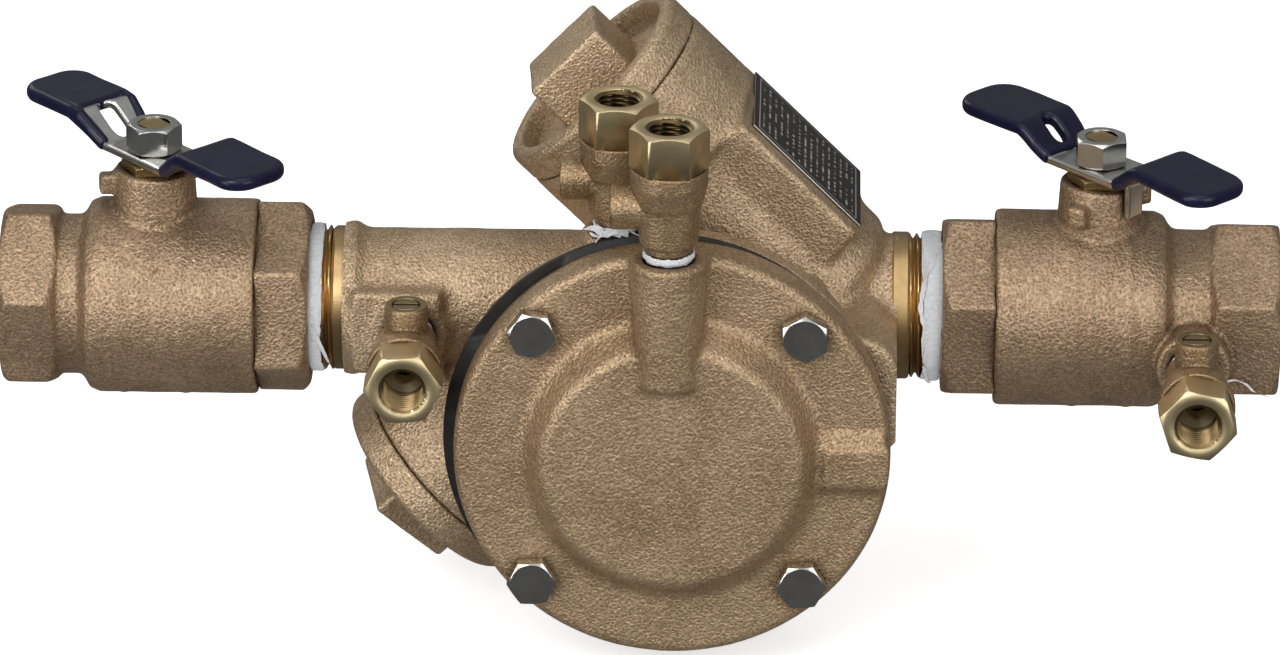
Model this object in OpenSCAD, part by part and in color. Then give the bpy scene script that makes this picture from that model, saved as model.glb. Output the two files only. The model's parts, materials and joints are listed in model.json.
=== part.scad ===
// Reduced-pressure backflow preventer assembly with two ball shut-off valves,
// two spring-loaded check valves set at 45 degrees, a diaphragm relief valve
// and four test cocks.
// Frame: origin on the pipe axis where the outlet port's thread starts, 1.5 mm inside the
// outlet end face. +X points towards the inlet, -Y towards the relief cover, +Z up. Millimetres.

/* [Run] */
// Half of the face-to-face length
half_run = 188.6; // [188:0.1:190]
// Outer radius of the cast pipe run
pipe_r = 21; // [20.8:0.1:21.6]
// Bore radius of the cast pipe run
run_bore_r = 17; // [15:0.5:17.5]
// Radius of the male pipe thread
thread_r = 20.95; // [20.9:0.01:20.97]

/* [Check branches] */
// Where the first check's axis meets the pipe axis
first_x = 57; // [56.6:0.1:57.4]
// Where the second check's axis meets the pipe axis
second_x = -2.7; // [-3.2:0.1:-2.2]
// Distance of the first check's seat lip along its branch
first_lip = 40; // [39.5:0.1:40.5]
// Distance of the second check's seat lip along its branch
second_lip = 23.3; // [23:0.1:23.8]
// Outer radius of the branch mouth and its cap
barrel_r = 33.2; // [33.1:0.1:34.4]

/* [Relief valve] */
// Cover centre along the run
relief_x = 9.6; // [9:0.1:10]
// Cover centre height
relief_z = -20.3; // [-20.8:0.1:-20]
// Radius of the cover
cover_r = 63.5; // [63:0.1:64.5]
// Half of the bolt square's side
bolt_half = 39.3; // [39:0.1:39.6]
// Distance of the flange face from the pipe axis
flange_y = 52; // [52:0.1:52.5]

/* [Ball valves] */
// Stem axis to the outlet end face
outlet_reach = 45.3; // [45:0.1:46]
// Stem axis to the inlet end face
inlet_reach = 53.5; // [53:0.1:54]
// Across-flats size of the end hexagons
end_af = 50; // [49.5:0.1:51]
// Radius of the valve barrels
valve_r = 29; // [28.8:0.1:29.5]
// Radius of the balls
ball_r = 23.5; // [23.3:0.05:23.5]
// Port radius through valve and ball
port_r = 16; // [14:0.5:16]
// Angle of the outlet handle from the pipe axis at rest
outlet_angle = 47; // [0:1:90]
// Angle of the inlet handle from the pipe axis at rest
inlet_angle = 46; // [0:1:90]
// Minor radius of the female pipe threads
female_r = 19.5; // [19.2:0.1:19.6]

/* [Test cocks] */
// Across-flats size of the test cock ends
cock_af = 20; // [19.5:0.1:20.5]
// Minor radius of the test cock ports
cock_port_r = 5.8; // [5.6:0.1:6]

/* [Hidden] */
$fn = 72;

// ball valve places and lengths along the pipe axis, from the stem axis
outlet_x = -half_run + outlet_reach;
inlet_x = half_run - inlet_reach;
port_lead = 1.5;   // depth of the lead-in cone at each end port
valve_joint = 30;  // where the valve body meets its end piece
socket_end = 46;   // inner face of the end piece

// cast run between the valves
run_start = outlet_x + valve_joint;
run_len = inlet_x - outlet_x - 2 * valve_joint;

// check valves: heights are measured from the seat lip
passage_r = 15;
pocket_r = 20;
pocket_depth = 8;
chamber_r = 23.5;
plug_bore_r = 28;
mouth_z = 52.7;
cap_square = 26.8;

// relief valve: heights are measured from the pipe axis towards the cover
cover_back = 54;
cover_front = 66.4;
cover_shift = 1.2;   // offset of the round cover along the run
clamp_gap = 0.03;    // either side of the diaphragm
relief_stem_r = 4;
stem_hole_r = relief_stem_r + 0.05;
sense_x = 54;        // sensing port from the cover centre
sense_y = -2.7;
sense_r = 3.2;
spout_x = 22;
spout_y = -26.5;

// test cocks
boss_top = 65.2;     // cover boss above the cover centre
cover_cock_z = 73;   // cover boss in front of the pipe axis
cock_1 = [27.6, -33, -5.2];  // from the inlet stem axis
cock_3 = [-5.6, -44.6, 42.1];
cock_4 = [-67.3, -24.8, -1.2];
cock_places = [[inlet_x, 0, 0] + cock_1, [relief_x, -cover_cock_z, relief_z + boss_top],
  cock_3, cock_4];
cock_tilts = [[90, 0, 0], [0, 0, 90], [0, 0, 90], [90, 0, 0]];
boss_hole_r = 6.9;
cock_bore_r = 3.2;
cock_ball_r = 7;
cock_ball_z = 15.8;

bronze = [0.70, 0.58, 0.43];
machined = [0.68, 0.60, 0.38];
steel = [0.75, 0.75, 0.74];
vinyl = [0.10, 0.10, 0.24];
black = [0.06, 0.06, 0.06];
ptfe = [0.93, 0.93, 0.92];
plate_dark = [0.16, 0.15, 0.14];

// ---------- shared shapes ----------
// every turned profile lists [radius, z]
module turned(profile) rotate_extrude() polygon(profile);
module raise(z) translate([0, 0, z]) children();
module rod(r, z0, z1) raise(z0) cylinder(r = r, h = z1 - z0);
module box(corner, size) translate(corner) cube(size);
// cylinder from a place towards +z
module peg(place, r, h) translate(place) cylinder(r = r, h = h);
// cylinder from a place towards -y
module y_peg(place, r, h) translate(place) rotate([90, 0, 0]) cylinder(r = r, h = h);
module tube(outer_r, inner_r, z0, z1) raise(z0) difference() {
  cylinder(r = outer_r, h = z1 - z0);
  raise(-1) cylinder(r = inner_r, h = z1 - z0 + 2);
}

// hexagon of a given across-flats size with chamfered corners at the chosen ends
module hex_bar(af, z0, z1, top = true, bottom = false) {
  corner_r = af / 2 / cos(30);
  wide = corner_r + 1;
  face_r = af / 2 - 0.2;
  drop = (wide - face_r) * 0.577;
  h = z1 - z0;
  raise(z0) intersection() {
    cylinder(r = corner_r, h = h, $fn = 6);
    turned([[0, 0], [bottom ? face_r : wide, 0], [wide, bottom ? drop : 0],
      [wide, h - (top ? drop : 0)], [top ? face_r : wide, h], [0, h]]);
  }
}

// helical spring swept as one closed skin; the end turns lie flat and the middle ones climb
module coil(radius, wire_r, z0, z1, turns) {
  sides = 8;
  steps = ceil(turns * 16);
  rise = z1 - z0 - 2 * wire_r;
  flat = 0.9 / turns;
  function climb(t) = t < flat ? 0 : t > 1 - flat ? 1 : (t - flat) / (1 - 2 * flat);
  points = [for (i = [0 : steps])
    let (t = i / steps, a = 360 * turns * t, z = z0 + wire_r + rise * climb(t))
    for (k = [0 : sides - 1])
      let (b = 360 * k / sides, r = radius + wire_r * cos(b))
      [r * cos(a), r * sin(a), z + wire_r * sin(b)]];
  faces = concat(
    [[for (k = [0 : sides - 1]) k]],
    [for (i = [0 : steps - 1], k = [0 : sides - 1]) let (next = (k + 1) % sides)
      [i * sides + k, (i + 1) * sides + k, (i + 1) * sides + next, i * sides + next]],
    [[for (k = [sides - 1 : -1 : 0]) steps * sides + k]]);
  polyhedron(points = points, faces = faces, convexity = 12);
}

// ---------- frames ----------
// parts are drawn with x = 0 midway between the end faces, then moved to the outlet port
module placed() translate([half_run - port_lead, 0, 0]) children();
// branches: z runs from the pipe axis to the cap, up (first) or down (second) and to the outlet
module first_branch() translate([first_x, 0, 0]) rotate([0, -45, 0]) children();
module second_branch() translate([second_x, 0, 0]) rotate([0, -135, 0]) children();
// checks: the same axes with z = 0 at the seat lip
module first_check() first_branch() raise(first_lip) children();
module second_check() second_branch() raise(second_lip) children();
// relief: z runs from the pipe axis towards the cover, y is up
module relief() translate([relief_x, 0, relief_z]) rotate([90, 0, 0]) children();
module outlet() translate([outlet_x, 0, 0]) children();
module inlet() translate([inlet_x, 0, 0]) children();
// z turned along the pipe, to +X for side 1 and to -X for side -1
module toward(side) rotate([0, 90 * side, 0]) children();
// test cocks: z points to the open end, y to the slotted stem
module cock_at(n) translate(cock_places[n - 1]) rotate(cock_tilts[n - 1]) children();
module bolt_places() for (x = [-1, 1], y = [-1, 1])
  translate([x * bolt_half, y * bolt_half, 0]) children();

// ---------- main casting ----------
// pipe run with its collars and male threads
module run_outside() translate([run_start, 0, 0]) toward(1) turned([
  [0, 0], [thread_r - 1, 0], [thread_r, 1.2], [thread_r, 23.4],
  [22.1, 23.6], [22.1, 27.2], [22.9, 27.4], [22.9, 29.8], [pipe_r, 32],
  [pipe_r, run_len - 30.4], [21.9, run_len - 29.6], [21.9, run_len - 25.2],
  [thread_r, run_len - 25], [thread_r, run_len - 1.2], [thread_r - 1, run_len], [0, run_len]]);

module branches_outside() {
  // first: round mouth, box-shaped middle with its raised plate pad
  first_branch() {
    turned([[0, 2], [24, 2], [28, 8], [28, 60], [30, 66], [barrel_r, 67.2],
      [barrel_r, first_lip + mouth_z], [0, first_lip + mouth_z]]);
    box([-6, -24.5, 18], [34, 49, 48.4]);
    box([24.5, -19, 16.6], [3.4, 43.5, 47.4]);
  }
  second_branch() turned([[0, 0], [27, 0], [28, 10], [28, 44], [30, 49.5], [barrel_r, 50.8],
    [barrel_r, second_lip + mouth_z], [0, second_lip + mouth_z]]);
  // sleeve that keeps the passage wall whole where the branches part
  second_branch() rod(19.2, -36, 2);
}

module relief_outside() {
  lug_y = -flange_y + 0.6;
  // housing, flange and bolt bosses
  relief() {
    turned([[0, 8], [26, 8], [34, 20], [50.5, 34], [50.5, 43], [52, 44], [cover_r - 0.8, 44],
      [cover_r, 44.8], [cover_r, flange_y], [0, flange_y]]);
    bolt_places() raise(36) cylinder(r1 = 6.5, r2 = 7.9, h = 10);
  }
  // passage lug beside the housing, with one rounded-off lower corner
  y_peg([64.5, 0, -1], r = 12, h = -lug_y);
  box([50, lug_y, -20.8], [26.5, -lug_y, 19.8]);
  box([50, lug_y, -28], [19.5, -lug_y - 2, 8]);
  translate([69.4, lug_y, -20.9]) rotate([-90, 0, 0]) linear_extrude(height = -lug_y - 2)
    polygon([[-0.2, -0.2], [7.1, -0.2], [7.1, 0.6], [0.4, 7.1], [-0.2, 7.1]]);
  // discharge spout
  translate([spout_x, spout_y, -90])
    turned([[0, 0], [18.2, 0], [19, 0.8], [19, 11], [17, 13], [17, 66], [0, 66]]);
}

module cock_bosses() {
  intersection() {
    translate([cock_3.x, cock_3.y, 5]) cylinder(r1 = 15, r2 = 10.6, h = cock_3.z - 5);
    box([cock_3.x - 30, -flange_y + 0.02, 0], [60, 40, 60]);
  }
  box([-84, -24, -14.6], [26, 24, 26]);
  y_peg([cock_4.x, 0, cock_4.z], r = 11.2, h = -cock_4.y);
}

// seat pocket, poppet chamber, cap bore and O-ring recess of a check
module check_bore() {
  rod(pocket_r, -pocket_depth, 1);
  rod(chamber_r, 0, 40);
  rod(plug_bore_r, 32, 62);
  rod(31.2, 49.5, 54.5);
}

module flow_passages() {
  translate([-116, 0, 0]) toward(1) cylinder(r = run_bore_r, h = 78);
  translate([50, 0, 0]) toward(1) cylinder(r = run_bore_r, h = 58);
  first_branch() {
    rod(passage_r, 2.5, 42.5);
    // recess for the name plate
    box([28.01, -18.2, 17.4], [3, 42.4, 45]);
  }
  first_check() check_bore();
  // zone passage from the first chamber to the second seat
  intersection() {
    second_branch() rod(passage_r, -43, -13);
    first_branch() box([-40, -20, first_lip + 0.4], [80, 40, 40]);
  }
  second_branch() rod(passage_r, -16, 19);
  second_check() check_bore();
}

module relief_passages() {
  relief() {
    rod(46, 39, flange_y + 1);  // relief chamber
    rod(18, 34, 40);            // seat web
    rod(22, 27, 35);            // discharge chamber
    rod(4.1, 11, 28);           // stem guide
    bolt_places() rod(4.02, 41, 53);
    peg([sense_x, sense_y, 10], r = sense_r, h = 50);
    peg([-4.6, 32.3, 10], r = 8, h = 32);
  }
  peg([relief_x + sense_x, -10, -24], r = sense_r, h = 15);
  // discharge spout bore
  peg([spout_x, spout_y, -91], r = 12, h = 47);
  peg([spout_x, spout_y, -45], r = 11.4, h = 22);
}

module cock_holes() {
  peg([cock_3.x, cock_3.y, cock_3.z - 13], r = 6.7, h = 15);
  peg([cock_3.x, cock_3.y, 18], r = cock_bore_r, h = 20);
  y_peg([cock_4.x, -13.6, cock_4.z], r = boss_hole_r, h = 13);
}

module main_body() color(bronze) difference() {
  union() {
    run_outside();
    branches_outside();
    relief_outside();
    cock_bosses();
  }
  flow_passages();
  relief_passages();
  cock_holes();
}

// ---------- check valves; z = 0 is the seat lip ----------
module square_prism(z, h) box([-cap_square / 2, -cap_square / 2, z], [cap_square, cap_square, h]);

// cap with a raised square; turn is the square's angle
module check_cap(turn) color(bronze) difference() {
  union() {
    rod(27.9, 42, 52.8);
    rod(9, 34, 49);
    turned([[0, mouth_z + 0.05], [barrel_r, mouth_z + 0.05], [barrel_r, 60.8],
      [barrel_r - 1.4, 62.2], [0, 62.2]]);
    rotate([0, 0, turn]) intersection() {
      square_prism(50, 24.6);
      turned([[0, 49], [22, 49], [22, 72.6], [18, 73.8], [0, 73.8]]);
    }
  }
  // dish round the square
  difference() {
    turned([[0, 56], [26.6, 56], [28.4, 63], [0, 63]]);
    rotate([0, 0, turn]) square_prism(50, 30);
  }
  // spring pocket round the guide
  difference() {
    rod(22, 41, 48);
    rod(9, 40, 49);
  }
  // poppet stem guide
  rod(5.1, 30, 53.5);
}

module check_oring() color(black) raise(51.1)
  rotate_extrude() translate([29.55, 0]) circle(r = 1.5);

module check_seat() color(machined) turned([[passage_r, -pocket_depth],
  [pocket_r - 0.05, -pocket_depth], [pocket_r - 0.05, -1.5], [17.2, -1.5], [16.4, 0],
  [15.4, 0], [passage_r, -0.4]]);

module check_disc() color(black) tube(18.5, 3.1, 0.05, 3);

module check_retainer() color(steel) union() {
  rod(9, -1.5, 0.05);
  hex_bar(8, -4.6, -1.4, top = false, bottom = true);
  rod(3, 0, 12);
}

module check_poppet() color(machined) difference() {
  turned([[0, 3], [18.6, 3], [18.6, 0.9], [20.5, 0.9], [20.5, 6.5], [19, 8], [11, 8],
    [9.5, 9.5], [5, 14], [5, 39.4], [4.4, 40], [0, 40]]);
  rod(3.05, 2, 13);
}

module check_spring() color(steel)
  coil(radius = 13.4, wire_r = 1.2, z0 = 9.6, z1 = 47.9, turns = 7);

// ---------- relief valve ----------
module cover_outside() {
  translate([cover_shift, 0, 0]) turned([[0, cover_back], [cover_r - 0.3, cover_back],
    [cover_r, 54.3], [cover_r, 64.8], [cover_r - 1.6, cover_front], [44.6, cover_front],
    [42.6, 67.6], [38.4, 74.8], [36.5, 76], [0, 76]]);
  // vertical test cock boss standing proud of the dome
  translate([0, boss_top, cover_cock_z]) rotate([90, 0, 0])
    cylinder(r1 = 11.2, r2 = 8.6, h = boss_top - 26);
  raise(60) linear_extrude(height = 12.9)
    polygon([[-11.1, boss_top - 2.6], [-8.5, 26.4], [8.5, 26.4], [11.1, boss_top - 2.6]]);
  // sensing rib and its pad
  intersection() {
    box([33, -9, 58], [34, 16.2, cover_front - 56.4]);
    translate([cover_shift, 0, 0]) rod(cover_r - 1.2, 50, 80);
  }
  intersection() {
    box([45.8, -8.2, 58], [22, 12.2, cover_front - 54.6]);
    translate([cover_shift, 0, 0]) rod(cover_r - 0.3, 50, 80);
  }
}

module relief_cover() color(bronze) difference() {
  union() cover_outside();
  turned([[0, 53], [40, 53], [40, 55], [34, 72], [0, 72]]);
  bolt_places() rod(4.2, 50, 70);
  // sensing port into the dome
  peg([sense_x, sense_y, 53], r = sense_r, h = 8.6);
  translate([20, sense_y, 59]) toward(1) cylinder(r = 2.4, h = 34);
  // test cock port
  y_peg([0, boss_top + 1, cover_cock_z], r = boss_hole_r, h = 13);
  y_peg([0, boss_top - 5, cover_cock_z], r = 2.6, h = boss_top - 36);
  peg([0, 32, 62], r = 2.6, h = 11);
}

module diaphragm_ring() difference() {
  translate([-1.7, 0.3, 0]) tube(64, 35.8, flange_y + clamp_gap, cover_back - clamp_gap);
  bolt_places() rod(4.1, 50, 70);
  peg([sense_x, sense_y, 50], r = 3.4, h = 10);
}

// the hat that rolls inside the dome, joined to the clamped ring
module diaphragm_hat() turned([[33, flange_y + clamp_gap], [39, flange_y + clamp_gap],
  [39, cover_back - clamp_gap], [35, cover_back - clamp_gap], [35, 64],
  [stem_hole_r, 64], [stem_hole_r, 62], [33, 62]]);

module relief_diaphragm() color(black) union() {
  diaphragm_ring();
  diaphragm_hat();
}

module relief_plates() color(steel) {
  tube(30, stem_hole_r, 64.03, 67);
  tube(32.6, stem_hole_r, 59.5, 61.97);
}

module relief_stem() color(machined) union() {
  rod(relief_stem_r, 19, 71);
  rod(6, 48, 59.4);
  rod(17, 48, 51);
  hex_bar(12, 67.05, 70.4);
}

module relief_disc() color(black) tube(16.5, stem_hole_r, 45.5, 47.97);

module relief_disc_nut() color(steel) difference() {
  union() {
    rod(9, 44.2, 45.46);
    hex_bar(13, 41.2, 44.3, top = false, bottom = true);
  }
  rod(stem_hole_r, 40, 46);
}

module relief_seat() color(machined) turned([[12.5, 35], [17.95, 35], [17.95, 38.8],
  [15.6, 38.8], [14.4, 39.4], [12.9, 39.4], [12.5, 39]]);

module relief_spring() color(steel)
  coil(radius = 26, wire_r = 1.3, z0 = 39.05, z1 = 59.45, turns = 4);

module cover_bolt() union() {
  hex_bar(12.7, cover_front + 0.03, cover_front + 4.95);
  rod(3.97, 45, cover_front + 0.1);
}

// [x side, y side, turn of the bolt head]
bolt_turns = [[-1, -1, 4], [-1, 1, -8], [1, -1, 3], [1, 1, 30]];
module cover_bolts() color(steel) for (bolt = bolt_turns)
  translate([bolt[0] * bolt_half, bolt[1] * bolt_half, 0]) rotate([0, 0, bolt[2]]) cover_bolt();

// ---------- plate and tape ----------
module name_plate() color(plate_dark) first_branch() box([28.04, -18, 17.6], [0.7, 42, 44.6]);

module thread_tape() color(ptfe) {
  tape_r = 21.75;
  tape_end = socket_end + 0.05;
  outlet_width = 3.7;
  inlet_width = 6.65;
  translate([outlet_x + tape_end, 0, 0]) toward(1) tube(tape_r, thread_r + 0.02, 0, outlet_width);
  translate([inlet_x - tape_end - inlet_width, 0, 0]) toward(1)
    tube(tape_r, thread_r + 0.02, 0, inlet_width);
  for (n = [1, 2, 4]) cock_at(n) tube(7.6, 6.62, 0.03, 2.65);
  cock_at(3) tube(7.3, 6.62, 1, 2.65);
}

// ---------- ball valves; origin on the stem axis ----------
// side is +1 when the outer end points to +X; neck is where the end hexagon starts and
// hex_turn its angle; lug_turns and lug_z place the two lugs beside the stem neck
module valve_body(side, neck, reach, hex_turn, lug_turns, lug_z, cock) color(bronze)
difference() {
  union() {
    toward(side) turned([[0, -valve_joint], [valve_r - 0.8, -valve_joint], [valve_r, -29.2],
      [valve_r, 16.5], [valve_r - 1.2, 19.3], [25.4, 20.6], [23.7, 22], [23.7, neck + 1],
      [0, neck + 1]]);
    toward(side) rotate([0, 0, hex_turn]) hex_bar(end_af, neck, reach, bottom = true);
    raise(14) cylinder(r1 = 13.4, r2 = 11.7, h = 27);
    for (turn = lug_turns) rotate([0, 0, turn]) box([9, -2.6, lug_z], [7.4, 5.2, 6]);
    if (cock) y_peg([cock_1.x, 0, cock_1.z], r = 10.8, h = -cock_1.y);
  }
  // ball chamber, end piece bore, port and female thread with its lead-in
  toward(side) {
    rod(24.2, -20.4, 20.4);
    rod(25.6, -31, -20.39);
    rod(port_r, 20, reach - 10);
    rod(female_r, reach - 17, reach + 1);
    raise(reach - port_lead) cylinder(r1 = female_r, r2 = female_r + 2.1, h = port_lead + 0.02);
  }
  // stem shoulder, stem hole and packing chamber
  rod(8, 18, 26.3);
  rod(6.05, 26, 34);
  rod(8.2, 33, 42);
  if (cock) {
    y_peg([cock_1.x, -20, cock_1.z], r = boss_hole_r, h = 14);
    y_peg([cock_1.x, -10, cock_1.z], r = cock_bore_r, h = 11);
  }
}

module outlet_valve_body() valve_body(side = -1, neck = 28.4, reach = outlet_reach,
  hex_turn = -13.6, lug_turns = [190, 46], lug_z = 33.6, cock = false);
module inlet_valve_body() valve_body(side = 1, neck = 33, reach = inlet_reach,
  hex_turn = 5.9, lug_turns = [27, -117], lug_z = 31.4, cock = true);

module valve_end(side, hex_turn) color(bronze) toward(side) difference() {
  union() {
    rotate([0, 0, hex_turn])
      hex_bar(51, -socket_end, -valve_joint - 0.05, top = false, bottom = true);
    rod(25.5, -valve_joint - 0.1, -20.45);
  }
  rod(port_r, -30, -20);
  rod(21, -47, -29);
  raise(-socket_end - 0.02) cylinder(r1 = 22.2, r2 = 21, h = 1.2);
}

module ball(angle) color(steel) rotate([0, 0, -angle]) difference() {
  rotate([0, 90, 0]) sphere(r = ball_r);
  translate([-30, 0, 0]) toward(1) cylinder(r = port_r, h = 60);
  box([-2.6, -30, 18], [5.2, 60, 10]);
}

module ball_seats(side) color(ptfe) toward(side) for (m = [0, 1]) mirror([0, 0, m])
  difference() {
    tube(24.1, 16.3, 12, 20.36);
    sphere(r = ball_r + 0.05);
  }

module valve_stem(angle) color(machined) rotate([0, 0, -angle]) union() {
  // tongue in the ball's slot
  intersection() {
    box([-2.5, -7.6, 18.1], [5, 15.2, 6]);
    rod(7.6, 18, 25);
  }
  rod(7.9, 23.8, 26.2);
  rod(6, 26.1, 44.15);
  // double-D top
  intersection() {
    rod(4.76, 44, 54.6);
    box([-6, -3.6, 43], [12, 7.2, 12]);
  }
}

module stem_packing() color(ptfe) for (z = [33.05, 35.75]) tube(8.15, 6.04, z, z + 2.65);

module packing_nut() color(machined) difference() {
  union() {
    rod(8.15, 38.45, 41.2);
    hex_bar(17, 41.02, 44);
  }
  rod(6.1, 38, 45);
}

// ---------- handles; grow thickens a wing on all sides ----------
// side outline [x, z] of a half handle: flat plate, rising arm, flat wing
function wing_side(grow) = [
  [-0.5, 44.2 - grow], [13.5, 44.2 - grow], [24 + grow * 0.35, 51.6 - grow], [60, 51.6 - grow],
  [60, 54 + grow], [23.1 - grow * 0.35, 54 + grow], [12.7, 46.6 + grow], [-0.5, 46.6 + grow]];

// plan outline [x, y] of a half handle with rounded wing corners
function wing_plan(grow) =
  let (tip = 50.7 + grow, wing = 10.8 + grow, corner = 4.6 + grow, root = 8.9 + grow) concat(
    [[-0.5, -root], [17, -root], [22, -wing]],
    [for (i = [0 : 5]) [tip - corner + corner * sin(i * 18), -wing + corner - corner * cos(i * 18)]],
    [for (i = [0 : 5]) [tip - corner + corner * cos(i * 18), wing - corner + corner * sin(i * 18)]],
    [[22, wing], [17, root], [-0.5, root]]);

// half handle cut off square at x = start
module half_wing(grow, start) intersection() {
  rotate([90, 0, 0]) raise(-15) linear_extrude(height = 30) polygon(wing_side(grow));
  raise(40) linear_extrude(height = 20) polygon(wing_plan(grow));
  box([start, -20, 30], [60, 40, 40]);
}

module slot_cut() {
  r = 2.9;
  raise(40) linear_extrude(height = 20) polygon([
    for (i = [0 : 6]) [22 + r * sin(i * 30), -r * cos(i * 30)],
    for (i = [0 : 6]) [16.2 - r * sin(i * 30), r * cos(i * 30)]]);
}

// tab_turn is the angle of the tab that hangs below the plate
module handle(angle, tab_turn) color(steel) rotate([0, 0, -angle]) difference() {
  union() {
    for (turn = [0, 180]) rotate([0, 0, turn]) half_wing(grow = 0, start = -0.5);
    rotate([0, 0, tab_turn]) box([12.6, -3, 33.6], [2.4, 6, 12]);
  }
  rotate([0, 0, 180]) slot_cut();
  // double-D hole for the stem
  intersection() {
    rod(4.81, 40, 50);
    box([-6, -3.65, 40], [12, 7.3, 12]);
  }
}

// rear_start is where the grip on the slotted wing begins; it is cut where it meets the slot
module grips(angle, rear_start) color(vinyl) rotate([0, 0, -angle])
  for (turn = [0, 180]) rotate([0, 0, turn]) difference() {
    half_wing(grow = 0.85, start = turn > 0 ? rear_start : 16.5);
    half_wing(grow = 0.01, start = 0);
    if (turn > 0 && rear_start < 22) slot_cut();
  }

module handle_nut(turn) color(steel) rotate([0, 0, turn]) difference() {
  hex_bar(14.3, 46.72, 54.9, bottom = true);
  rod(4.82, 46, 56);
}

// ---------- test cocks ----------
module cock_body() color(bronze) difference() {
  union() {
    turned([[0, -8.6], [5.9, -8.6], [6.6, -7.8], [6.6, 2.7], [7, 2.9], [7, 5.3], [8.5, 5.5],
      [9.3, 16.6], [9.6, 17.6], [11, 23.6], [11.2, 24.4], [11.2, 28.4], [0, 28.4]]);
    raise(cock_ball_z) rotate([-90, 0, 0]) cylinder(r = 6.4, h = 16.5);
  }
  rod(cock_bore_r, -9, 10);
  rod(7.3, 8.6, 29);
  raise(cock_ball_z) rotate([-90, 0, 0]) cylinder(r = 4.06, h = 17);
}

module cock_end(turn) color(machined) rotate([0, 0, turn]) difference() {
  union() {
    hex_bar(cock_af, 28.45, 40.7);
    rod(7.25, 23.2, 28.5);
  }
  rod(cock_bore_r, 22, 29);
  rod(cock_port_r, 28.5, 42);
  raise(39) cylinder(r1 = cock_port_r, r2 = 7.6, h = 1.72);
}

// bored ball with its slotted stem
module cock_plug() color(machined) difference() {
  union() {
    raise(cock_ball_z) rotate([0, 90, 0]) sphere(r = cock_ball_r);
    translate([0, 5.2, cock_ball_z]) rotate([-90, 0, 0]) cylinder(r = 4, h = 10.2);
  }
  translate([-9, 0, cock_ball_z]) toward(1) cylinder(r = cock_bore_r, h = 18);
  box([-6, 13.2, 15], [12, 4, 1.6]);
}

module cock_seats() color(ptfe) for (n = [1 : 4], span = [[8.65, 11.6], [20, 23.15]])
  cock_at(n) difference() {
    tube(7.2, 3.3, span[0], span[1]);
    raise(cock_ball_z) sphere(r = cock_ball_r + 0.03);
  }

placed() main_body();
placed() first_check() check_cap(turn = 5);  // first_check_cap
placed() first_check() check_oring();  // first_cap_oring
placed() first_check() check_seat();  // first_check_seat
placed() first_check() check_poppet();  // first_check_poppet
placed() first_check() check_disc();  // first_check_disc
placed() first_check() check_retainer();  // first_check_retainer
placed() first_check() check_spring();  // first_check_spring
placed() second_check() check_cap(turn = -16);  // second_check_cap
placed() second_check() check_oring();  // second_cap_oring
placed() second_check() check_seat();  // second_check_seat
placed() second_check() check_poppet();  // second_check_poppet
placed() second_check() check_disc();  // second_check_disc
placed() second_check() check_retainer();  // second_check_retainer
placed() second_check() check_spring();  // second_check_spring
placed() relief() relief_cover();
placed() relief() relief_diaphragm();
placed() relief() relief_plates();
placed() relief() relief_stem();
placed() relief() relief_disc();
placed() relief() relief_disc_nut();
placed() relief() relief_seat();
placed() relief() relief_spring();
placed() relief() cover_bolts();
placed() name_plate();
placed() thread_tape();
placed() outlet() outlet_valve_body();
placed() outlet() valve_end(-1, hex_turn = 5.5);  // outlet_valve_end
placed() outlet() ball(outlet_angle);  // outlet_ball
placed() outlet() ball_seats(-1);  // outlet_ball_seats
placed() outlet() valve_stem(outlet_angle);  // outlet_stem
placed() outlet() stem_packing();  // outlet_stem_packing
placed() outlet() packing_nut();  // outlet_packing_nut
placed() outlet() handle(outlet_angle, 163);  // outlet_handle
placed() outlet() grips(outlet_angle, 24.6);  // outlet_handle_grips
placed() outlet() handle_nut(turn = 2);  // outlet_handle_nut
placed() inlet() inlet_valve_body();
placed() inlet() valve_end(1, hex_turn = 8);  // inlet_valve_end
placed() inlet() ball(inlet_angle);  // inlet_ball
placed() inlet() ball_seats(1);  // inlet_ball_seats
placed() inlet() valve_stem(inlet_angle);  // inlet_stem
placed() inlet() stem_packing();  // inlet_stem_packing
placed() inlet() packing_nut();  // inlet_packing_nut
placed() inlet() handle(inlet_angle, 0);  // inlet_handle
placed() inlet() grips(inlet_angle, 15.2);  // inlet_handle_grips
placed() inlet() handle_nut(turn = 32);  // inlet_handle_nut
placed() cock_at(1) cock_body();  // test_cock_1_body
placed() cock_at(1) cock_end(turn = -12);  // test_cock_1_end
placed() cock_at(1) cock_plug();  // test_cock_1_plug
placed() cock_at(2) cock_body();  // test_cock_2_body
placed() cock_at(2) cock_end(turn = 30);  // test_cock_2_end
placed() cock_at(2) cock_plug();  // test_cock_2_plug
placed() cock_at(3) cock_body();  // test_cock_3_body
placed() cock_at(3) cock_end(turn = 28);  // test_cock_3_end
placed() cock_at(3) cock_plug();  // test_cock_3_plug
placed() cock_at(4) cock_body();  // test_cock_4_body
placed() cock_at(4) cock_end(turn = 4);  // test_cock_4_end
placed() cock_at(4) cock_plug();  // test_cock_4_plug
placed() cock_seats();  // test_cock_seats
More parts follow.
